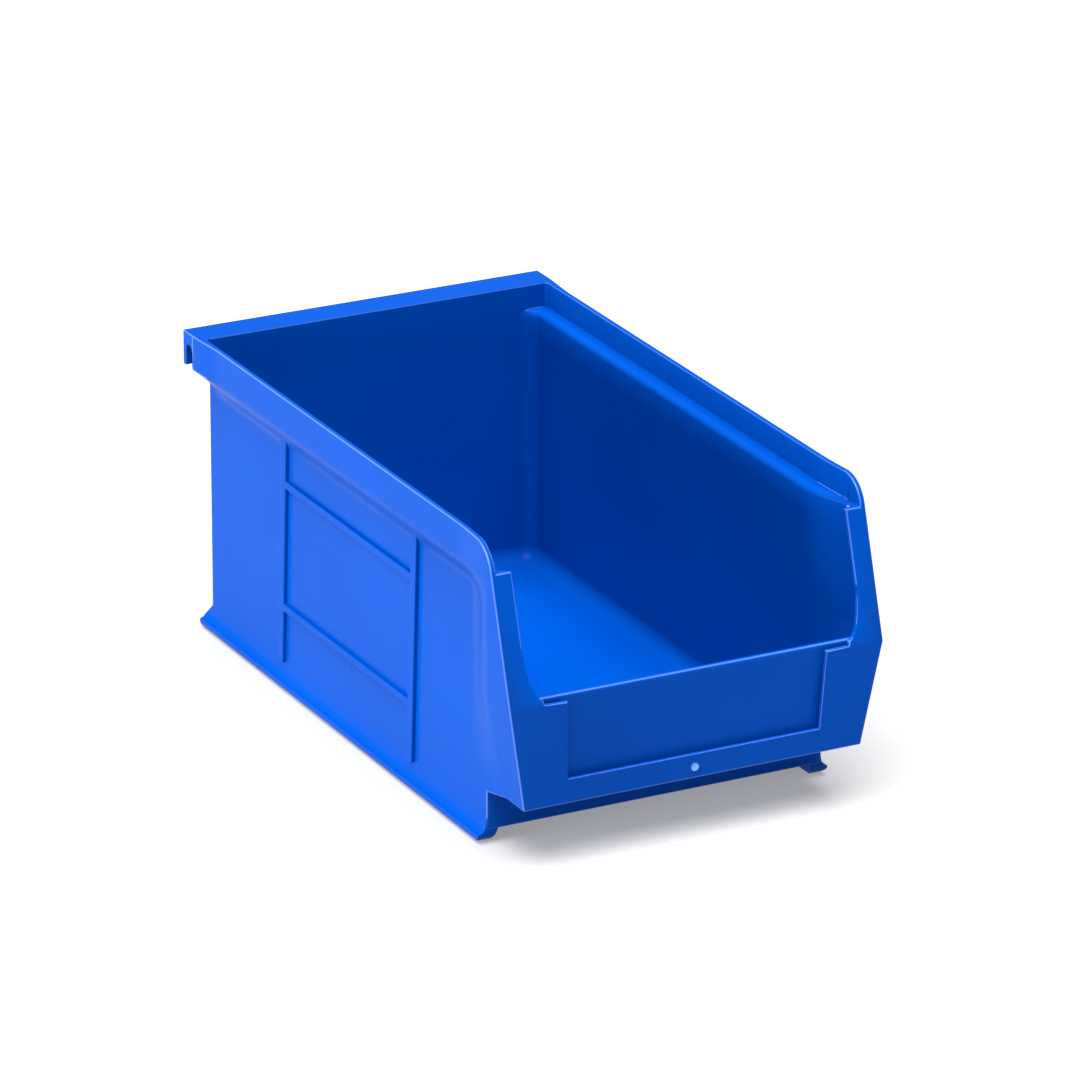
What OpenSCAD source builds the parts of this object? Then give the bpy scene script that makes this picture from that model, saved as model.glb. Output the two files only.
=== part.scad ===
// Stackable storage bin with an open hopper front, a label pocket and a rear hanging lip.
// The real bin is one polypropylene moulding. Each node below is one region of its wall.
// X is across, Y runs from the hopper front (-Y) to the hanging lip (+Y), Z is up.
// The origin is the middle of the footprint, at the underside of the two runners.

/* [Body] */
// Overall width, across the front cheeks and the rear corners
bin_w = 150; // [150:1:156]
// Overall length, from the label lips to the hanging lip
bin_l = 270; // [250:1:360]
// Overall height
bin_h = 120; // [110:1:160]
// Wall thickness
wall = 2; // [1.6:0.1:2.4]
// Outer width across the two upper bands
band_w = 147.6; // [128:0.2:148]
// Outer width across the two lower side walls
base_w = 136; // [116:1:150]
// Thickness of the floor panel
floor_t = 2.5; // [2:0.1:3]
// Clear gap under the floor panel
floor_gap = 5.5; // [5:0.5:7]

/* [Stacking] */
// Depth of the stacking ledges below the top edge
ledge_drop = 10; // [9:0.5:12]
// Thickness of the stacking ledges
ledge_t = 2.5; // [2:0.1:3]
// Radius of the runners' outer edge
runner_r = 2.8; // [2.5:0.1:3]
// How far the runners reach behind the side walls
heel = 4.5; // [2:0.5:6]
// Radius of the front top corner of each upper band
corner_r = 11; // [8:0.5:14]
// How far each runner's round edge is centred outside the lower side wall
runner_out = 0.5; // [0:0.1:0.6]
// How far each runner reaches inside the lower side wall
web_w = 2.5; // [1.5:0.5:4]
// Length of the prow at the front end of each runner
prow = 6; // [5.5:0.5:8]

/* [Hanging lip] */
// Depth of the rear rim, from the lip's outer face to the rear wall's inner face
rim_depth = 14; // [12:0.5:18]
// Width of the channel that a louvre panel enters
channel_w = 6; // [5:0.5:6.5]
// Height of the lip, rim included
lip_h = 13.7; // [12:0.1:16]
// Height of the arched notch in each rear corner, above the lip's lower edge
notch_h = 9; // [7:0.5:9.5]
// Radius of the lip's lower corners
lip_corner_r = 2; // [1:0.5:3]
// Length of the thicker rear corners, the lip included
rear_corner_l = 30; // [20:1:40]
// Thickness of the rear corners' outer skin
corner_skin = 2.5; // [2.2:0.1:3]

/* [Hopper front] */
// Height of the front's widest line, at the top of the label lips
kink_z = 63.5; // [50:0.5:75]
// Height of the hopper's underside
hopper_z = 23.5; // [18:0.5:30]
// Distance of the front riser behind the label lips
riser_back = 31.5; // [25:0.5:40]
// How far the side edges lean back from the widest line up to the ledges
edge_lean = 14.5; // [8:0.5:20]
// How far the label lips lean back from the widest line down to the underside
lip_lean = 2.7; // [0:0.1:6]
// Width of the front flanges
flange_w = 8; // [6:0.5:10]
// How far behind the front riser each side wall starts to flare out
flare_back = 8; // [6:1:12]
// Length of the flare, from the lower width to the overall width
flare_l = 21; // [16:1:24]
// Length of the rise under the hopper, in front of the riser
rise_l = 15; // [10:1:20]
// Height of that rise
rise_h = 3; // [1:0.5:6]

/* [Label pocket] */
// Clear width of the window between the two label lips
window_w = 104; // [80:1:106]
// Height of the window's lower edge
window_z = 33; // [30:0.5:40]
// Depth of the slot that the label slides into
slot_depth = 1.5; // [1:0.1:2]
// How far the label slot reaches behind each lip
slot_side = 11; // [6:0.5:11]
// How far the pocket's back panel stands above the lips
panel_rise = 1.5; // [0:0.5:3]

/* [Side ribs] */
// How far the ribs stand proud of the side wall
rib_proud = 1.5; // [1:0.1:2.6]
// Width of an upright rib
rib_w = 4.5; // [2:0.1:6]
// Height of a level rib
level_rib_h = 3; // [2:0.1:4]
// Positions of the two upright ribs at their top
rib_y = [57, -51];
// Heights of the two level ribs
level_rib_z = [80.8, 31.2];
// How far the foot of an upright rib sits behind its top
rib_lean = 5; // [0:0.5:6]
// Height of the upright ribs' feet
rib_foot = 10; // [8:0.5:14]
// Height of the upright ribs' tops
rib_top = 102; // [96:0.5:104]

/* [Gate mark] */
// Diameter of the gate mark
gate_d = 3.5; // [2:0.5:5]
// How far the gate mark stands out
gate_h = 0.6; // [0.3:0.1:1]
// Height of its middle
gate_z = 28; // [26:0.5:30]

/* [Hidden] */
$fn = 64;
half = bin_w / 2;
front_y = -bin_l / 2;
rear_y = bin_l / 2;
band_x = band_w / 2;
base_x = base_w / 2;
floor_top = floor_gap + floor_t;
ledge_z = bin_h - ledge_drop;
ledge_under = ledge_z - ledge_t;
lip_in = rear_y - wall;
channel_y = lip_in - channel_w;
lip_z = bin_h - lip_h;
wall_in = rear_y - rim_depth;
rear_wall_y = wall_in + wall;
riser_y = front_y + riser_back;
flange_y = front_y + edge_lean;
flare_y = riser_y + flare_back;
cheek_y = flare_y - flare_l;
corner_x = half - corner_skin;
corner_front = rear_y - rear_corner_l;
panel_face = wall + slot_depth;
panel_back = panel_face + wall;
side_top = ledge_under;
rise_z = hopper_z - rise_h;
shelf_z = hopper_z + wall;
overlap = 1;
far = 400;

// Extrudes a Y-Z outline along X.
module along_x(x0, x1) {
    translate([x0, 0, 0]) rotate([90, 0, 90]) linear_extrude(x1 - x0) children();
}

// Extrudes an X-Z outline along Y.
module along_y(y0, y1) {
    translate([0, y1, 0]) rotate([90, 0, 0]) linear_extrude(y1 - y0) children();
}

// Right-hand shapes are drawn as they are, and left-hand ones are their mirror image.
module on_side(side) {
    if (side > 0) children();
    else mirror([1, 0, 0]) children();
}

// Box from one corner to the opposite corner.
module block(low, high) {
    translate(low) cube(high - low);
}

// Y of the front face at height z: it leans back above and below the widest line.
function face_y(z) = z >= kink_z
    ? front_y + edge_lean * (z - kink_z) / (ledge_z - kink_z)
    : front_y + lip_lean * (kink_z - z) / (kink_z - hopper_z);

// Side view of the hopper, with its front face moved in by a depth.
module hopper_side(depth, low = hopper_z, high = ledge_z) {
    polygon([
        [flare_y, low], [face_y(low) + depth, low], [face_y(kink_z) + depth, kink_z],
        [face_y(high) + depth, high], [flare_y, high]
    ]);
}

// Plan of the hopper, with its sides moved in by a depth.
module hopper_plan(depth) {
    x0 = base_x - depth;
    x1 = half - depth;
    polygon([
        [x0, flare_y], [x1, cheek_y], [x1, front_y], [-x1, front_y], [-x1, cheek_y], [-x0, flare_y]
    ]);
}

// Front view of the hopper: it narrows from the widest line down to the underside.
module hopper_front(depth) {
    x0 = base_x - depth;
    x1 = half - depth;
    polygon([
        [-x0, 0], [-x0, hopper_z], [-x1, kink_z], [-x1, bin_h],
        [x1, bin_h], [x1, kink_z], [x0, hopper_z], [x0, 0]
    ]);
}

// Everything inside the hopper's sides at a depth.
module hopper_sides(depth) {
    intersection() {
        linear_extrude(bin_h) hopper_plan(depth);
        along_y(front_y, flare_y) hopper_front(depth);
    }
}

// A slab of the hopper's front face between two depths, inside its sides.
module front_slab(depth0, depth1, side_depth = 0) {
    intersection() {
        hopper_sides(side_depth);
        difference() {
            along_x(-far, far) hopper_side(depth0);
            along_x(-far, far) hopper_side(depth1, hopper_z - overlap, ledge_z + overlap);
        }
    }
}

module floor_panel() {
    color("royalblue")
        block([-base_x + wall, riser_y, floor_gap], [base_x - wall, rear_wall_y, floor_top]);
}

// The rear wall is wider above the ledges than below them.
module rear_wall() {
    color("royalblue") union() {
        block([-base_x + wall, wall_in, floor_top], [base_x - wall, rear_wall_y, side_top]);
        block([-corner_x, wall_in, side_top], [corner_x, rear_wall_y, bin_h - wall]);
    }
}

// The side walls run past the rear wall as far as the hanging channel.
module side_wall(side) {
    color("royalblue") on_side(side) along_x(base_x - wall, base_x) polygon([
        [channel_y, floor_gap], [channel_y, side_top], [flare_y, side_top],
        [flare_y, rise_z], [riser_y, rise_z], [riser_y, floor_gap]
    ]);
}

// The flared front of a side wall, from the ribs forward to the front flange.
module front_cheek(side) {
    color("royalblue") on_side(side) intersection() {
        difference() {
            hopper_sides(0);
            hopper_sides(wall);
        }
        block([0, -far, 0], [far, far, far]);
        along_x(0, far) polygon([
            [flare_y, rise_z], [riser_y, rise_z], [riser_y - rise_l, hopper_z],
            [face_y(hopper_z) + wall, hopper_z], [face_y(kink_z) + wall, kink_z],
            [face_y(side_top) + wall, side_top], [flare_y, side_top]
        ]);
    }
}

// The ledge that the next bin's runners stand on.
module stacking_ledge(side) {
    color("dodgerblue") on_side(side) union() {
        block([base_x - wall, flare_y, ledge_under], [band_x - wall, wall_in, ledge_z]);
        intersection() {
            linear_extrude(bin_h) polygon([
                [base_x - wall, flare_y], [base_x - wall, face_y(side_top) + wall],
                [band_x - wall, face_y(side_top) + wall], [band_x - wall, flare_y]
            ]);
            along_x(0, far) polygon([
                [flare_y, ledge_under], [face_y(ledge_under) + wall, ledge_under],
                [face_y(ledge_z) + wall, ledge_z], [flare_y, ledge_z]
            ]);
        }
    }
}

// The upright wall above the ledge, with its front top corner rounded off.
module upper_band(side) {
    color("dodgerblue") on_side(side) intersection() {
        linear_extrude(bin_h) polygon([
            [band_x - wall, corner_front], [band_x - wall, front_y], [half, front_y],
            [half, cheek_y], [band_x, flare_y], [band_x, corner_front]
        ]);
        along_x(0, half) difference() {
            union() {
                translate([flange_y + corner_r, bin_h - corner_r]) circle(corner_r);
                polygon([
                    [flange_y + corner_r, ledge_under], [face_y(ledge_under) + wall, ledge_under],
                    [face_y(ledge_z) + wall, ledge_z], [flange_y + corner_r, bin_h - corner_r]
                ]);
                translate([flange_y + corner_r, ledge_under])
                    square([corner_front - flange_y - corner_r, bin_h - ledge_under]);
            }
            polygon([
                [-far, 0], [-far, ledge_z], [face_y(ledge_z) + wall, ledge_z],
                [face_y(ledge_under) + wall, ledge_under], [face_y(ledge_under) + wall, 0]
            ]);
            translate([-far, 0]) square([2 * far, ledge_under]);
        }
    }
}

// The thicker rear corner, notched so that a panel's louvre can pass up into the channel.
module rear_corner(side) {
    arch_z = lip_z + notch_h - channel_w / 2;
    color("royalblue") on_side(side) union() {
        along_x(corner_x, half) difference() {
            polygon([
                [corner_front, ledge_under], [corner_front, bin_h], [wall_in, bin_h],
                [wall_in, bin_h - wall], [lip_in, bin_h - wall], [lip_in, lip_z], [channel_y, lip_z],
                [channel_y, ledge_under]
            ]);
            translate([channel_y, lip_z - overlap]) square([channel_w, arch_z - lip_z + overlap]);
            translate([channel_y + channel_w / 2, arch_z]) circle(channel_w / 2);
        }
        block([band_x - wall, corner_front, ledge_under], [corner_x, wall_in, ledge_z]);
        block([base_x - wall, rear_wall_y, ledge_under], [corner_x, channel_y, ledge_z]);
    }
}

module rear_rim() {
    color("cornflowerblue")
        block([-half, wall_in, bin_h - wall], [half, rear_y, bin_h]);
}

// The lip turned down behind the rim, with its lower corners rounded off.
module hanging_lip() {
    color("royalblue") along_y(lip_in, rear_y) union() {
        translate([-half, lip_z + lip_corner_r])
            square([bin_w, lip_h - wall - lip_corner_r]);
        translate([-half + lip_corner_r, lip_z]) square([bin_w - 2 * lip_corner_r, lip_corner_r]);
        for (side = [-1, 1])
            translate([side * (half - lip_corner_r), lip_z + lip_corner_r]) circle(lip_corner_r);
    }
}

// A full-length runner: flat underneath, round outside, with its front end cut up like a prow.
module runner(side) {
    foot_x = base_x + runner_out;
    web_x = base_x - wall - web_w;
    heel_y = channel_y + heel;
    chamfer = 2;
    color("royalblue") on_side(side) intersection() {
        along_y(riser_y, heel_y) union() {
            translate([foot_x, runner_r]) circle(runner_r);
            polygon([
                [web_x, floor_gap], [web_x + chamfer, 0], [foot_x, 0], [foot_x, runner_r],
                [base_x, floor_gap]
            ]);
            polygon([
                [base_x, runner_r], [foot_x + runner_r, runner_r],
                [foot_x + runner_r / 2, floor_gap + overlap], [base_x, rib_foot]
            ]);
        }
        along_x(0, far) polygon([
            [riser_y, prow], [riser_y + prow / 4, prow / 2.4], [riser_y + prow, 0],
            [heel_y - chamfer, 0], [heel_y, chamfer], [heel_y, floor_gap], [channel_y, rib_foot],
            [riser_y, rib_foot]
        ]);
    }
}

// Y of the front edge of an upright rib, at height z.
function rib_edge(y, z) = y + rib_lean * (rib_top - z) / (rib_top - rib_foot);

// Two upright ribs joined by two level ribs: one outline with the gaps between them cut out.
module side_ribs(side) {
    gaps = [
        [rib_top + overlap, level_rib_z[0] + level_rib_h],
        [level_rib_z[0], level_rib_z[1] + level_rib_h],
        [level_rib_z[1], rib_foot - overlap]
    ];
    color("royalblue") on_side(side) along_x(base_x, base_x + rib_proud) difference() {
        polygon([
            [rib_edge(rib_y[1], rib_top), rib_top], [rib_edge(rib_y[0], rib_top) + rib_w, rib_top],
            [rib_edge(rib_y[0], rib_foot) + rib_w, rib_foot], [rib_edge(rib_y[1], rib_foot), rib_foot]
        ]);
        for (gap = gaps)
            polygon([
                [rib_edge(rib_y[1], gap[0]) + rib_w, gap[0]], [rib_edge(rib_y[0], gap[0]), gap[0]],
                [rib_edge(rib_y[0], gap[1]), gap[1]], [rib_edge(rib_y[1], gap[1]) + rib_w, gap[1]]
            ]);
    }
}

// The narrow leaning face between the open mouth and the outer edge.
module front_flange(side) {
    color("dodgerblue") on_side(side) intersection() {
        front_slab(0, wall);
        block([half - flange_w, -far, kink_z], [half, far, ledge_z]);
    }
}

module front_riser() {
    color("mediumblue")
        block([-base_x + wall, riser_y, floor_top], [base_x - wall, riser_y + wall, hopper_z]);
}

// The raised floor of the hopper, from the riser to the label pocket.
module hopper_shelf() {
    color("royalblue") intersection() {
        hopper_sides(wall);
        along_x(-far, far) polygon([
            [riser_y + wall, hopper_z], [riser_y + wall, shelf_z],
            [face_y(shelf_z) + panel_back, shelf_z], [face_y(hopper_z) + panel_back, hopper_z]
        ]);
    }
}

// The pocket's back panel, set behind the lips by the slot.
module label_back_panel() {
    color("mediumblue") intersection() {
        front_slab(panel_face, panel_back, wall);
        block([-far, -far, hopper_z], [far, far, kink_z + panel_rise]);
    }
}

// A side lip of the label pocket, with the closed end of the slot behind it.
module label_lip(side) {
    lip_x = window_w / 2;
    color("blue") on_side(side) union() {
        intersection() {
            front_slab(0, wall);
            block([lip_x, -far, window_z], [half, far, kink_z]);
        }
        intersection() {
            front_slab(wall, panel_face, wall);
            block([lip_x + slot_side, -far, window_z], [half, far, kink_z]);
        }
    }
}

// The lower lip, which closes the slot at the bottom.
module lower_label_lip() {
    color("blue") union() {
        intersection() {
            front_slab(0, wall);
            block([-half, -far, hopper_z], [half, far, window_z]);
        }
        intersection() {
            front_slab(wall, panel_face, wall);
            block([-half, -far, hopper_z], [half, far, window_z - wall]);
        }
    }
}

// The small raised dot left where the plastic entered the mould.
module gate_mark() {
    lean = atan(lip_lean / (kink_z - hopper_z));
    color("lightblue") translate([0, face_y(gate_z), gate_z]) rotate([90 + lean, 0, 0])
        cylinder(d = gate_d, h = gate_h);
}

floor_panel();
rear_wall();
side_wall(-1);  // left_side_wall
side_wall(1);  // right_side_wall
front_cheek(-1);  // left_front_cheek
front_cheek(1);  // right_front_cheek
stacking_ledge(-1);  // left_stacking_ledge
stacking_ledge(1);  // right_stacking_ledge
upper_band(-1);  // left_upper_band
upper_band(1);  // right_upper_band
rear_corner(-1);  // left_rear_corner
rear_corner(1);  // right_rear_corner
rear_rim();
hanging_lip();
runner(-1);  // left_runner
runner(1);  // right_runner
side_ribs(-1);  // left_side_ribs
side_ribs(1);  // right_side_ribs
front_flange(-1);  // left_front_flange
front_flange(1);  // right_front_flange
front_riser();
hopper_shelf();
label_back_panel();
label_lip(-1);  // left_label_lip
label_lip(1);  // right_label_lip
lower_label_lip();
gate_mark();
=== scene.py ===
import math

import bmesh
import bpy
from mathutils import Matrix, Vector


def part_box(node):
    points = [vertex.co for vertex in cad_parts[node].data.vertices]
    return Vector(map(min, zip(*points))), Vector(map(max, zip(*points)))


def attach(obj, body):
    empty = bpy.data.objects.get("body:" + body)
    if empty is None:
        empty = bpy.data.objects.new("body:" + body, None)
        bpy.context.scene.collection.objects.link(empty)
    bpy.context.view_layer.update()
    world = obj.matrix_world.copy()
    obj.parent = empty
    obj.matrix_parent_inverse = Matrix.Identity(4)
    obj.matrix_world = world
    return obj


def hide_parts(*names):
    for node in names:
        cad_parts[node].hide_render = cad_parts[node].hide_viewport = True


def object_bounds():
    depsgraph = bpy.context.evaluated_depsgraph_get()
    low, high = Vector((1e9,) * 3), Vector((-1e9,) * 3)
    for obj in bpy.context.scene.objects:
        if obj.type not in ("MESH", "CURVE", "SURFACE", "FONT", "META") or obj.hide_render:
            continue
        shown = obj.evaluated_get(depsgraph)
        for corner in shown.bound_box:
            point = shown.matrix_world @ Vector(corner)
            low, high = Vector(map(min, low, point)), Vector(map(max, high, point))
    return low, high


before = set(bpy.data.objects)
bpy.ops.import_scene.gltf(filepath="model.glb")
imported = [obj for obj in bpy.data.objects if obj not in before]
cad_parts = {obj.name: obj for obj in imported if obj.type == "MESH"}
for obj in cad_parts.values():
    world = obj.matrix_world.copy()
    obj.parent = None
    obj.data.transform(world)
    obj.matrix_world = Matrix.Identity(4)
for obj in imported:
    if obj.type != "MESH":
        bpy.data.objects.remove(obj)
cad_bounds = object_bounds()

# -------------------------------------------------------------------------- camera
# The camera stands in front of the bin and to its left, far back with a long lens.
# It looks down a little, so that the top edges stay nearly parallel.
azimuth = math.radians(-27.37)
elevation = math.radians(21.19)
roll = math.radians(0.16)
distance = 2.787
aim = Vector((0.0065, -0.0001, 0.0674))
away = Vector((math.sin(azimuth) * math.cos(elevation),
               -math.cos(azimuth) * math.cos(elevation),
               math.sin(elevation)))
camera = bpy.data.objects.new("camera", bpy.data.cameras.new("camera"))
bpy.context.scene.collection.objects.link(camera)
camera.data.sensor_width = 36
camera.data.lens = 252.3
camera.data.clip_end = 50
camera.location = aim + away * distance
level_view = away.to_track_quat("Z", "Y").to_matrix()
camera.rotation_euler = (level_view @ Matrix.Rotation(roll, 3, "Z")).to_euler()
bpy.context.scene.camera = camera

# -------------------------------------------------------------------- moulded body
# The body is one polypropylene moulding with walls 2 mm thick: tub, hopper front, label
# pocket, stacking ledges, upper bands, rear rim and hanging lip, with no seam between them.
# It is shaped as an outer block with the cavity, mouth, pocket and channel taken out of it.
mm = 0.001


def corners_of(node):
    """The lowest and the highest corner of a CAD node."""
    return [Vector(corner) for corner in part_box(node)]


half = cad_bounds[1][0]
front = cad_bounds[0][1]
rear = cad_bounds[1][1]
top = cad_bounds[1][2]
side_lo, side_hi = corners_of("right_side_wall")
wall_lo, wall_hi = corners_of("rear_wall")
riser_lo, riser_hi = corners_of("front_riser")
shelf_lo, shelf_hi = corners_of("hopper_shelf")
flange_lo, flange_hi = corners_of("right_front_flange")
floor_lo, floor_hi = corners_of("floor_panel")
ledge_hi = corners_of("right_stacking_ledge")[1]
cheek_hi = corners_of("right_front_cheek")[1]
lip_lo = corners_of("hanging_lip")[0]

wall = side_hi.x - side_lo.x
base_x = side_hi.x
band_x = ledge_hi.x + wall
ledge_z = ledge_hi.z
kink_z = flange_lo.z
hopper_z = shelf_lo.z
rear_edge = side_hi.y
edge_lean = flange_hi.y - flange_lo.y - wall
lip_lean = 2.7 * mm
flare_start = cheek_hi.y + 4 * mm
flare_end = cheek_hi.y - 23 * mm
blend_low = 95.5 * mm
blend_high = 108 * mm
pad_front = corners_of("right_rear_corner")[0].y
pad_low = 100.5 * mm


def smooth(t):
    """A soft step from 0 to 1."""
    t = min(1, max(0, t))
    return t * t * (3 - 2 * t)


def face_y(z):
    """Y of the front face at a height: it leans back above and below its widest line."""
    if z >= kink_z:
        return front + edge_lean * (z - kink_z) / (ledge_z - kink_z)
    return front + lip_lean * (kink_z - z) / (kink_z - hopper_z)


def front_x(z):
    """Half width of the front at a height."""
    if z >= kink_z:
        return half
    return base_x + (half - base_x) * (z - hopper_z) / (kink_z - hopper_z)


def wall_x(y, z):
    """X of the outer side face: the lower wall, the band above it and the flare in front."""
    side = base_x + (band_x - base_x) * smooth((z - blend_low) / (blend_high - blend_low))
    flare = smooth((flare_start - y) / (flare_start - flare_end))
    return side + (max(front_x(z), side) - side) * flare


def outer_x(y, z):
    """The side face with the thicker rear corner, which has a chamfer underneath."""
    rise = min(1, max(0, (z - pad_low) / (lip_lo.z - pad_low)))
    corner = smooth((y - pad_front) / (rear_edge - pad_front))
    return wall_x(y, z) * (1 - corner) + (base_x + (half - base_x) * rise) * corner


def solid(name, rings):
    """A closed mesh through rings of equal length, capped at both ends."""
    bm = bmesh.new()
    rows = [[bm.verts.new(point) for point in ring] for ring in rings]
    count = len(rings[0])
    for a, b in zip(rows, rows[1:]):
        for i in range(count):
            j = (i + 1) % count
            bm.faces.new((a[i], a[j], b[j], b[i]))
    bm.faces.new(rows[0])
    bm.faces.new(rows[-1])
    bmesh.ops.remove_doubles(bm, verts=bm.verts, dist=1e-6)
    bmesh.ops.recalc_face_normals(bm, faces=bm.faces)
    mesh = bpy.data.meshes.new(name)
    bm.to_mesh(mesh)
    bm.free()
    obj = bpy.data.objects.new(name, mesh)
    bpy.context.scene.collection.objects.link(obj)
    return obj


def both_sides(right):
    """A plan ring from its right half, which runs from the rear to the front."""
    return right + [(-x, y, z) for x, y, z in reversed(right)]


def block(name, a, b):
    """A box between two corners."""
    return solid(name, [[(a[0], a[1], z), (b[0], a[1], z), (b[0], b[1], z), (a[0], b[1], z)]
                        for z in (a[2], b[2])])


def across(name, x0, x1, outline):
    """A prism along X over a Y-Z outline."""
    return solid(name, [[(x, y, z) for y, z in outline] for x in (x0, x1)])


def angles_of(start, end, steps):
    """Equal steps of angle between two angles in degrees, with both ends, in radians."""
    return [math.radians(start + (end - start) * i / steps) for i in range(steps + 1)]


def arc(cy, cz, r, start, end, steps):
    """Points of an arc about (cy, cz), between two angles in degrees."""
    return [(cy + r * math.cos(a), cz + r * math.sin(a)) for a in angles_of(start, end, steps)]


def apply_modifiers(obj):
    """Makes the object's evaluated mesh its own mesh."""
    graph = bpy.context.evaluated_depsgraph_get()
    mesh = bpy.data.meshes.new_from_object(obj.evaluated_get(graph))
    obj.modifiers.clear()
    obj.data = mesh


def combine(obj, other, operation):
    """Adds another solid to a piece, cuts it out, or keeps only what both share."""
    cut = obj.modifiers.new(operation, "BOOLEAN")
    cut.operation = operation
    cut.solver = "MANIFOLD"
    cut.object = other
    apply_modifiers(obj)
    bpy.data.objects.remove(other)


# the outer block above the hopper's underside, closely stepped at the corner, flare and band
side_stations = [rear_edge + (pad_front - rear_edge) * i / 6 for i in range(7)]
side_stations += [flare_start + (flare_end - flare_start) * i / 12 for i in range(13)]
blend_levels = [blend_low + (pad_low - blend_low) * i / 4 for i in range(5)]
blend_levels += [pad_low + (lip_lo.z - pad_low) * i / 5 for i in range(1, 6)]
outer_rings = []
for z in [hopper_z, kink_z] + blend_levels + [blend_high, ledge_z, top]:
    right = [(outer_x(y, z), y, z) for y in side_stations]
    right.append((max(front_x(z), wall_x(front, z)), face_y(z), z))
    outer_rings.append(both_sides(right))
body = solid("bin_body", outer_rings)

# the base below the hopper, and the cheeks' lower edges, which rise towards the front
combine(body, block("base", (-base_x, riser_lo.y, side_lo.z),
                    (base_x, rear_edge, hopper_z + wall)), "UNION")
cheek_foot = hopper_z - 3 * mm
cheek_end = riser_lo.y - 15 * mm
combine(body, across("cheek_rise", -base_x, base_x, [
    (riser_lo.y + wall, hopper_z + wall), (riser_lo.y + wall, cheek_foot),
    (riser_lo.y - mm, cheek_foot), (cheek_end, hopper_z), (cheek_end, hopper_z + wall)]), "UNION")
combine(body, block("under_shelf", (-side_lo.x, front, 0),
                    (side_lo.x, riser_lo.y, hopper_z)), "DIFFERENCE")

# the rear rim and the lip that hangs from it, in one block until the channel is cut
rim_overlap = 0.5 * mm
combine(body, solid("rim_block", [
    both_sides([(half, rear, z), (half, rear_edge - rim_overlap, z)])
    for z in (lip_lo.z, top)]), "UNION")

# the rounded front top corners of the bands, cut before the cavities while the top is whole
clear = 5 * mm
round_r = 13 * mm
lean = math.atan2(ledge_z - kink_z, edge_lean)
tangent = round_r * math.tan(lean / 2)
corner_y = face_y(ledge_z) + (top - ledge_z) * edge_lean / (ledge_z - kink_z)
curve = arc(corner_y + tangent, top - round_r, round_r, 93, 90 + math.degrees(lean), 12)
curve += [(front - 4 * clear, curve[-1][1]), (front - 4 * clear, top + clear),
          (curve[0][0], top + clear)]
combine(body, across("corner_round", -half - mm, half + mm, curve), "DIFFERENCE")


def inset_plan(width_at, back, front_at, radius, z, inset):
    """A plan ring of a cavity with rounded corners, moved in by an inset."""
    r = max(radius - inset, 0.05 * mm)
    x_back = width_at(back) - inset
    y_back = back - inset
    right = [(x_back - r + r * math.sin(a), y_back - r + r * math.cos(a), z)
             for a in angles_of(0, 90, 6)]
    y_front = front_at + inset
    last = max(flare_end, y_front + r + mm)
    stations = [flare_start + (last - flare_start) * i / 8 for i in range(9)]
    right += [(width_at(y) - inset, y, z) for y in stations]
    x_front = width_at(y_front) - inset
    right += [(x_front - r + r * math.sin(a), y_front + r + r * math.cos(a), z)
              for a in angles_of(90, 180, 6)]
    return both_sides(right)


def fillet_levels(floor_z, radius, steps):
    """Heights and insets of a cavity's rings up the fillet round its floor."""
    return [(floor_z + radius * (1 - math.cos(a)), radius * (1 - math.sin(a)))
            for a in angles_of(0, 90, steps)]


# the deep cavity, with large fillets round the floor
fillet = 6 * mm
deep_top = 40 * mm
deep = fillet_levels(floor_hi.z, fillet, 6) + [(deep_top, 0)]
combine(body, solid("deep_cavity", [
    inset_plan(lambda y: side_lo.x, wall_lo.y, riser_hi.y, fillet, z, inset)
    for z, inset in deep]), "DIFFERENCE")

# the main cavity, which runs on over the shelf to the front panel, and widens at the ledges
ledge_round = 2.5 * mm
shelf_fillet = 4 * mm
label_gap = 1.5 * mm
pocket_back = 2 * wall + label_gap
panel_top = corners_of("label_back_panel")[1].z


def inner_x(y, z):
    """X of the inner side face, up to the rounded inner edge of the ledge."""
    rise = max(0, z - (ledge_z - ledge_round))
    rounding = ledge_round - math.sqrt(max(0, ledge_round ** 2 - rise ** 2))
    return min(wall_x(y, min(z, blend_low)) - wall + rounding, wall_x(y, top) - wall)


def cavity_front(z):
    """Y of the cavity's front face: the label panel's back below, the flanges' backs above."""
    return face_y(z) + (pocket_back if z < panel_top else wall)


main = fillet_levels(shelf_hi.z, shelf_fillet, 4)
main += [(kink_z, 0), (panel_top - 0.01 * mm, 0), (panel_top, 0), (ledge_z - ledge_round, 0)]
main += [(ledge_z - ledge_round * (1 - math.sin(a)), 0) for a in angles_of(0, 90, 6)[1:]]
combine(body, solid("main_cavity", [
    inset_plan(lambda y, z=z: inner_x(y, z), wall_lo.y, cavity_front(z), fillet, z, inset)
    for z, inset in main]), "DIFFERENCE")

# the space between the upper bands, open to the top and to the front
band_fillet = 1.5 * mm
combine(body, solid("upper_cavity", [
    inset_plan(lambda y: wall_x(y, top) - wall, wall_lo.y, front - 2 * clear, band_fillet, z, 0)
    for z in (ledge_z, top + clear)]), "DIFFERENCE")

# the open mouth, whose lower corners sweep in from the flanges to the panel's top edge
mouth_x = flange_lo.x
mouth_foot = 6.5 * mm
mouth_sweep = 19 * mm
mouth_depth = 9 * mm
mouth = [(mouth_x - mouth_foot * (1 - math.sin(a)), panel_top + mouth_sweep * (1 - math.cos(a)))
         for a in angles_of(0, 90, 8)] + [(mouth_x, top + clear)]
combine(body, solid("mouth", [
    both_sides([(x, face_y(min(z, ledge_z)) + mouth_depth, z), (x, front - 2 * clear, z)])
    for x, z in mouth]), "DIFFERENCE")


def pocket_cut(name, levels, near, far):
    """A cut into the front face between two depths, from (half width, height) levels."""
    return solid(name, [both_sides([(x, face_y(z) + far, z), (x, face_y(z) + near, z)])
                        for x, z in levels])


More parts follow.
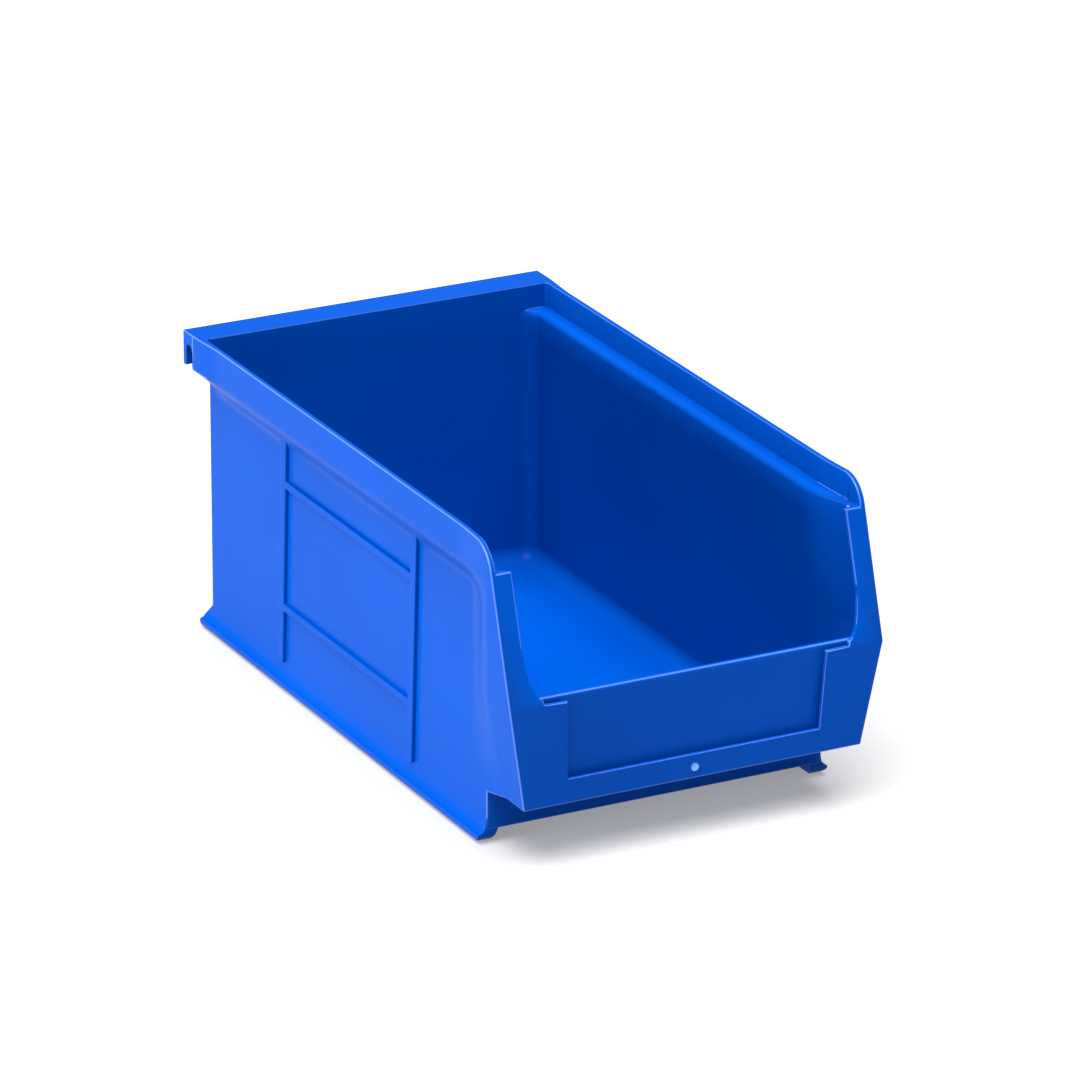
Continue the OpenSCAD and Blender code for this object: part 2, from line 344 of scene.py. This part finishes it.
# the label pocket: the window, the tops of the lips and the slot behind them
label_lo, label_hi = corners_of("right_label_lip")
window_x = label_lo.x
window_z = label_lo.z
window_taper = 1.3 * mm
slot_x = window_x + 11 * mm
slot_top = kink_z + 2.5 * mm
pocket_depth = wall + label_gap
combine(body, pocket_cut("window", [
    (window_x - window_taper, window_z), (window_x, kink_z), (window_x, kink_z + 8 * mm)],
    -clear, pocket_depth), "DIFFERENCE")
combine(body, pocket_cut("lip_tops", [
    (slot_x - 2 * mm, label_hi.z), (slot_x - 1.5 * mm, slot_top)],
    -clear, pocket_depth), "DIFFERENCE")
combine(body, pocket_cut("slot", [
    (slot_x, window_z - 2 * mm), (slot_x, kink_z), (slot_x, slot_top)],
    wall, pocket_depth), "DIFFERENCE")

# the hanging channel behind the rear wall, and the arched notch at each end of it
channel_top = corners_of("rear_rim")[0].z
channel_x = half - 2.5 * mm
notch_height = 9 * mm
combine(body, block("channel", (-side_lo.x, wall_hi.y, -mm),
                    (side_lo.x, lip_lo.y, channel_top)), "DIFFERENCE")
combine(body, block("channel_ends", (-channel_x, rear_edge, lip_lo.z - mm),
                    (channel_x, lip_lo.y, channel_top)), "DIFFERENCE")
combine(body, block("channel_sides", (-channel_x, wall_hi.y, ledge_z),
                    (channel_x, rear_edge + mm, channel_top)), "DIFFERENCE")
notch_r = (lip_lo.y - rear_edge) / 2
notch = arc(rear_edge + notch_r, lip_lo.z + notch_height - notch_r, notch_r, 0, 180, 12)
notch = [(lip_lo.y, lip_lo.z - mm)] + notch + [(rear_edge, lip_lo.z - mm)]
combine(body, across("notches", -half - mm, half + mm, notch), "DIFFERENCE")

# the small radius that every moulded edge has; its strips take the second finish, a lighter blue
# that is a painted highlight
shortest_edge = 0.22 * mm
edge_radius = 0.45 * mm
bm = bmesh.new()
bm.from_mesh(body.data)
bmesh.ops.remove_doubles(bm, verts=bm.verts, dist=shortest_edge)
bmesh.ops.dissolve_limit(bm, angle_limit=math.radians(0.4), verts=bm.verts, edges=bm.edges,
                         use_dissolve_boundaries=False, delimit=set())
bm.to_mesh(body.data)
bm.free()
edges = body.modifiers.new("edges", "BEVEL")
edges.width = edge_radius
edges.segments = 2
edges.limit_method = "ANGLE"
edges.angle_limit = math.radians(32)
edges.use_clamp_overlap = False
# the bevel strips take the lighter finish, a painted edge highlight
edges.material = 1
body.data.materials.clear()
body.data.materials.append(None)
body.data.materials.append(None)
apply_modifiers(body)

# where two radii run into each other at a rear corner, they stay flush with the side
for vertex in body.data.vertices:
    vertex.co.x = min(half, max(-half, vertex.co.x))

# an inside edge keeps the walls' finish, without the painted highlight: its strip bulges in from
# the faces beside it
bm = bmesh.new()
bm.from_mesh(body.data)
for face in bm.faces:
    if face.material_index == 1:
        centre = face.calc_center_median()
        around = [other.calc_center_median() for edge in face.edges for other in edge.link_faces]
        if sum((point - centre).dot(face.normal) for point in around) > 0:
            face.material_index = 0
bm.to_mesh(body.data)
bm.free()

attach(body, "root")
own_nodes = ("left_runner", "right_runner", "left_side_ribs", "right_side_ribs", "gate_mark")
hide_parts(*[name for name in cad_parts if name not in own_nodes])


def noise_on(finish, scale, detail):
    """A noise that is fixed to the piece, as an output socket."""
    tree = finish.node_tree
    where = tree.nodes.new("ShaderNodeTexCoord")
    noise = tree.nodes.new("ShaderNodeTexNoise")
    noise.inputs["Scale"].default_value = scale
    noise.inputs["Detail"].default_value = detail
    tree.links.new(where.outputs["Object"], noise.inputs["Vector"])
    return noise.outputs["Fac"]


def roughen(finish, noise, smoothest, roughest):
    """Lets the roughness of a finish drift between two values."""
    tree = finish.node_tree
    span = tree.nodes.new("ShaderNodeMapRange")
    span.inputs["To Min"].default_value = smoothest
    span.inputs["To Max"].default_value = roughest
    tree.links.new(noise, span.inputs["Value"])
    tree.links.new(span.outputs["Result"], tree.nodes["Principled BSDF"].inputs["Roughness"])


def colour_by(finish, value, first, second):
    """Colours a finish by a value, between two (position, colour) stops."""
    tree = finish.node_tree
    ramp = tree.nodes.new("ShaderNodeValToRGB")
    for stop, (position, colour) in zip(ramp.color_ramp.elements, (first, second)):
        stop.position = position
        stop.color = (*colour, 1)
    tree.links.new(value, ramp.inputs["Fac"])
    tree.links.new(ramp.outputs["Color"], tree.nodes["Principled BSDF"].inputs["Base Color"])


def blue_polypropylene(name, gloss, darker, lighter):
    """Moulded blue plastic: colour and gloss drift a little, over the fine grain of the mould."""
    finish = bpy.data.materials.new(name)
    finish.use_nodes = True
    tree = finish.node_tree
    shader = tree.nodes["Principled BSDF"]
    shader.inputs["IOR"].default_value = 1.49
    shader.inputs["Specular IOR Level"].default_value = gloss
    colour_by(finish, noise_on(finish, 14, 2), (0.3, darker), (0.7, lighter))
    roughen(finish, noise_on(finish, 60, 3), 0.24, 0.34)
    grain = tree.nodes.new("ShaderNodeBump")
    grain.inputs["Strength"].default_value = 0.03
    grain.inputs["Distance"].default_value = 0.05 * mm
    tree.links.new(noise_on(finish, 1100, 2), grain.inputs["Height"])
    tree.links.new(grain.outputs["Normal"], shader.inputs["Normal"])
    return finish


# the walls are dull from the mould; the outside edges get a lighter blue as a painted highlight,
# with more gloss to catch the light
plastic = blue_polypropylene("blue_polypropylene", 0.03, (0.0, 0.045, 0.29), (0.0, 0.050, 0.315))
painted_highlight_edges = blue_polypropylene("blue_polypropylene_painted_highlight", 0.3, (0.03, 0.10, 0.42), (0.05, 0.12, 0.48))


def finish_moulding(obj, *finishes):
    """Gives a moulded piece its plastic, smooth faces and clean normals at its edges."""
    for slot, finish in enumerate(finishes):
        if slot < len(obj.data.materials):
            obj.data.materials[slot] = finish
        else:
            obj.data.materials.append(finish)
    for face in obj.data.polygons:
        face.use_smooth = True
    obj.data.set_sharp_from_angle(angle=math.radians(35))
    normals = obj.modifiers.new("normals", "WEIGHTED_NORMAL")
    normals.keep_sharp = True


finish_moulding(body, plastic, painted_highlight_edges)

# ------------------------------------------------------------------------- runners
# Each side wall stands on a full-length runner, moulded with it and flat underneath, which
# rests on the ledge of the bin below. Its front end is cut up like a prow, and its heel is
# rounded, so that it slides in from the front without catching.
runner_lo, runner_hi = corners_of("right_runner")
foot_r = 2.8 * mm
prow_length = 6 * mm
prow_height = 5.5 * mm
heel_r = 2.5 * mm
runner_edge_radius = 0.4 * mm
web_x = runner_lo.x
runner_top = runner_hi.z
base_z = floor_lo.z

# the section: the web's foot, the round outer bulge, and the hollow sweep up into the wall
bulge = arc(runner_hi.x - foot_r, foot_r, foot_r, -90, 20, 10)
sweep_out = bulge[-1][0] - base_x
sweep_up = runner_top - bulge[-1][1]
section = [(web_x, base_z + mm), (web_x, base_z), (web_x + 0.6 * mm, 3.3 * mm),
           (web_x + 1.5 * mm, 0.6 * mm), (web_x + 2.2 * mm, 0)] + bulge
section += [(base_x + sweep_out * (1 - math.sin(a)) ** 1.15, runner_top - sweep_up * math.cos(a))
            for a in angles_of(0, 90, 6)[1:]]
section.append((base_x - wall / 2, runner_top))

# the side view: the prow, the flat foot and the heel
prow = [(runner_lo.y + prow_length * (1 - math.sin(a)), prow_height * (1 - math.cos(a)))
        for a in angles_of(0, 90, 6)]
heel = arc(runner_hi.y - heel_r, heel_r, heel_r, 0, -90, 6)
side_view = [(runner_lo.y, runner_top + mm)] + prow[::-1] + heel[::-1]
side_view += [(runner_hi.y, base_z), (rear_edge, runner_top), (rear_edge, runner_top + mm)]

for side, name in ((1, "right_runner"), (-1, "left_runner")):
    runner = solid(name + "_foot", [[(side * x, y, z) for x, z in section]
                                    for y in (runner_lo.y + 0.05 * mm, runner_hi.y)])
    combine(runner, across("ends", -half, half, side_view), "INTERSECT")
    soften = runner.modifiers.new("edges", "BEVEL")
    soften.width = runner_edge_radius
    soften.segments = 2
    soften.angle_limit = math.radians(40)
    apply_modifiers(runner)
    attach(runner, "root")
    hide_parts(name)
    finish_moulding(runner, plastic)

# ----------------------------------------------------------------------- side ribs
# Two upright ribs and two level ribs stiffen each side wall like a ladder. They are moulded
# with the wall, stand a little proud of it, and run out into the flare under the band.
ribs_lo, ribs_hi = corners_of("right_side_ribs")
rib_edge_radius = 0.4 * mm
rib_root = 1 * mm
rib_sizes = {
    "Wall X": base_x,
    "Proud": ribs_hi.x - base_x,
    "Rib Width": 4.5 * mm,
    "Level Height": 3 * mm,
    "Foot": ribs_lo.z,
    "Top": ribs_hi.z + 1.5 * mm,
    "Lean": 5 * mm,
    "Front Rib": ribs_lo.y,
    "Spacing": 108 * mm,
    "Lower Level": 31.2 * mm,
    "Level Spacing": 49.6 * mm,
    "Side": 1.0,
}
ladder = bpy.data.node_groups.new("rib_ladder", "GeometryNodeTree")
for label in rib_sizes:
    ladder.interface.new_socket(label, in_out="INPUT", socket_type="NodeSocketFloat")
ladder.interface.new_socket("Plastic", in_out="INPUT", socket_type="NodeSocketMaterial")
ladder.interface.new_socket("Ribs", in_out="OUTPUT", socket_type="NodeSocketGeometry")
given = ladder.nodes.new("NodeGroupInput").outputs
result = ladder.nodes.new("NodeGroupOutput").inputs


def ladder_node(kind, values):
    """A node of the ladder's tree, with a number or a link on each of its inputs."""
    node = ladder.nodes.new(kind)
    for socket, value in zip(node.inputs, values):
        if isinstance(value, (int, float)):
            socket.default_value = value
        else:
            ladder.links.new(value, socket)
    return node


def worked(operation, a, b):
    """The sum, difference, product or quotient of two sockets or numbers."""
    node = ladder_node("ShaderNodeMath", (a, b))
    node.operation = operation
    return node.outputs[0]


def rib_point(x, y, z):
    """A place or a size from three sockets or numbers."""
    return ladder_node("ShaderNodeCombineXYZ", (x, y, z)).outputs[0]


def rib_pair(size, first, step):
    """Two equal bars, one a step from the other, as real geometry."""
    line = ladder.nodes.new("GeometryNodeMeshLine")
    line.inputs["Count"].default_value = 2
    ladder.links.new(first, line.inputs["Start Location"])
    ladder.links.new(step, line.inputs["Offset"])
    bar = ladder.nodes.new("GeometryNodeMeshCube")
    ladder.links.new(size, bar.inputs["Size"])
    copies = ladder.nodes.new("GeometryNodeInstanceOnPoints")
    ladder.links.new(line.outputs["Mesh"], copies.inputs["Points"])
    ladder.links.new(bar.outputs["Mesh"], copies.inputs["Instance"])
    real = ladder.nodes.new("GeometryNodeRealizeInstances")
    ladder.links.new(copies.outputs["Instances"], real.inputs["Geometry"])
    return real.outputs["Geometry"]


# each bar starts a rib_root inside the wall and stands proud of it
height = worked("SUBTRACT", given["Top"], given["Foot"])
depth = worked("ADD", given["Proud"], rib_root)
middle_x = worked("MULTIPLY", worked("SUBTRACT", given["Proud"], rib_root), 0.5)
middle_x = worked("MULTIPLY", worked("ADD", given["Wall X"], middle_x), given["Side"])
first_y = worked("ADD", given["Front Rib"], worked("MULTIPLY", given["Rib Width"], 0.5))
middle_y = worked("ADD", first_y, worked("MULTIPLY", given["Spacing"], 0.5))
middle_z = worked("ADD", given["Foot"], worked("MULTIPLY", height, 0.5))
level_z = worked("ADD", given["Lower Level"], worked("MULTIPLY", given["Level Height"], 0.5))
uprights = rib_pair(rib_point(depth, given["Rib Width"], height),
                    rib_point(middle_x, first_y, middle_z),
                    rib_point(0, given["Spacing"], 0))
rungs = rib_pair(rib_point(depth, given["Spacing"], given["Level Height"]),
                 rib_point(middle_x, middle_y, level_z),
                 rib_point(0, 0, given["Level Spacing"]))
fuse = ladder.nodes.new("GeometryNodeMeshBoolean")
fuse.operation = "UNION"
fuse.solver = "MANIFOLD"
ladder.links.new(uprights, fuse.inputs["Mesh 2"])
ladder.links.new(rungs, fuse.inputs["Mesh 2"])

# the whole ladder leans: its foot stands further back than its top
place = ladder.nodes.new("GeometryNodeInputPosition")
parts = ladder.nodes.new("ShaderNodeSeparateXYZ")
ladder.links.new(place.outputs["Position"], parts.inputs["Vector"])
drop = worked("DIVIDE", worked("SUBTRACT", given["Top"], parts.outputs["Z"]), height)
lean_back = ladder.nodes.new("GeometryNodeSetPosition")
ladder.links.new(fuse.outputs["Mesh"], lean_back.inputs["Geometry"])
ladder.links.new(rib_point(0, worked("MULTIPLY", drop, given["Lean"]), 0),
                 lean_back.inputs["Offset"])
real_ribs = ladder.nodes.new("GeometryNodeRealizeInstances")
ladder.links.new(lean_back.outputs["Geometry"], real_ribs.inputs["Geometry"])
coloured = ladder.nodes.new("GeometryNodeSetMaterial")
ladder.links.new(real_ribs.outputs["Geometry"], coloured.inputs["Geometry"])
ladder.links.new(given["Plastic"], coloured.inputs["Material"])
ladder.links.new(coloured.outputs["Geometry"], result["Ribs"])

for side, name in ((1.0, "right_side_ribs"), (-1.0, "left_side_ribs")):
    ribs = bpy.data.objects.new(name.replace("side_ribs", "rib_ladder"), bpy.data.meshes.new(name))
    bpy.context.scene.collection.objects.link(ribs)
    build = ribs.modifiers.new("ladder", "NODES")
    build.node_group = ladder
    wanted = {**rib_sizes, "Side": side, "Plastic": plastic}
    for item in ladder.interface.items_tree:
        if item.in_out == "INPUT":
            build[item.identifier] = wanted[item.name]
    apply_modifiers(ribs)
    soften = ribs.modifiers.new("edges", "BEVEL")
    soften.width = rib_edge_radius
    soften.segments = 2
    apply_modifiers(ribs)
    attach(ribs, "root")
    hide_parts(name)
    finish_moulding(ribs, plastic)

# ----------------------------------------------------------------------- gate mark
# The plastic entered the mould in the middle of the lower lip. The gate left a small raised
# disc there, pale from the stress, with a dished middle.
mark_lo, mark_hi = corners_of("gate_mark")
mark_z = (mark_lo.z + mark_hi.z) / 2
mark_r = mark_hi.x
mark_foot = Vector((0, face_y(mark_z), mark_z))
tilt = math.atan2(lip_lean, kink_z - hopper_z)
sideways = Vector((1, 0, 0))
outwards = Vector((0, -math.cos(tilt), -math.sin(tilt)))
upwards = Vector((0, -math.sin(tilt), math.cos(tilt)))

# each ring's radius as a share of the disc's, and its height above the lip in mm
profile = [(1.0, -0.3), (1.0, 0.2), (0.93, 0.42), (0.8, 0.5),
           (0.66, 0.46), (0.52, 0.34), (0.3, 0.28), (0.08, 0.27)]
mark_rings = []
for share, proud in profile:
    mark_rings.append([
        tuple(mark_foot + outwards * proud * mm
              + (sideways * math.cos(a) + upwards * math.sin(a)) * share * mark_r)
        for a in angles_of(0, 345, 23)])
mark = solid("gate_disc", mark_rings)

# the stressed plastic is palest over the dish and turns blue at the rim
stressed = bpy.data.materials.new("stressed_polypropylene")
stressed.use_nodes = True
stress = stressed.node_tree
where = stress.nodes.new("ShaderNodeTexCoord")
from_middle = stress.nodes.new("ShaderNodeVectorMath")
from_middle.operation = "DISTANCE"
from_middle.inputs[1].default_value = mark_foot
stress.links.new(where.outputs["Object"], from_middle.inputs[0])
to_rim = stress.nodes.new("ShaderNodeMapRange")
to_rim.inputs["From Max"].default_value = mark_r
stress.links.new(from_middle.outputs["Value"], to_rim.inputs["Value"])
colour_by(stressed, to_rim.outputs["Result"], (0.78, (0.12, 0.32, 0.80)), (0.95, (0.0, 0.05, 0.32)))
roughen(stressed, noise_on(stressed, 2500, 2), 0.45, 0.65)
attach(mark, "root")
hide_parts("gate_mark")
finish_moulding(mark, stressed)

# ----------------------------------------------------------------- floor and light
# The bin stands on a plain matt white floor, which glows a little so that it stays white.
# A soft overhead light fills from above and a long softbox lights the left side wall.
reach = 20
ground = bpy.data.meshes.new("ground")
ground.from_pydata([(-reach, -reach, 0), (reach, -reach, 0), (reach, reach, 0), (-reach, reach, 0)],
                   [], [(0, 1, 2, 3)])
floor = bpy.data.objects.new("ground", ground)
bpy.context.scene.collection.objects.link(floor)
pale = bpy.data.materials.new("pale_floor")
pale.use_nodes = True
floor_shader = pale.node_tree.nodes["Principled BSDF"]
floor_shader.inputs["Base Color"].default_value = (0.3, 0.3, 0.3, 1)
floor_shader.inputs["Emission Color"].default_value = (1, 1, 1, 1)
floor_shader.inputs["Emission Strength"].default_value = 0.3
floor_shader.inputs["Roughness"].default_value = 0.9
floor.data.materials.append(pale)

studio = bpy.data.worlds.new("studio")
bpy.context.scene.world = studio
studio.use_nodes = True
studio.node_tree.nodes["Background"].inputs["Color"].default_value = (1, 1, 1, 1)
studio.node_tree.nodes["Background"].inputs["Strength"].default_value = 0.25

softbox = bpy.data.lights.new("left_light", "AREA")
softbox.shape = "RECTANGLE"
softbox.size = 0.9
softbox.size_y = 0.28
softbox.energy = 40
left_light = bpy.data.objects.new("left_light", softbox)
left_light.location = (-1.6, 0.0, 0.2)
left_light.rotation_euler = (Vector((-1.6, 0.0, 0.2))
                             - Vector((0, 0, 0.06))).to_track_quat("Z", "Y").to_euler()
bpy.context.scene.collection.objects.link(left_light)

overhead = bpy.data.lights.new("overhead", "SUN")
overhead.energy = 8.8
overhead.angle = math.radians(58)
overhead_light = bpy.data.objects.new("overhead", overhead)
overhead_light.rotation_euler = Vector((-0.14, -0.2, 1)).to_track_quat("Z", "Y").to_euler()
bpy.context.scene.collection.objects.link(overhead_light)
bpy.context.scene.view_settings.view_transform = "Standard"
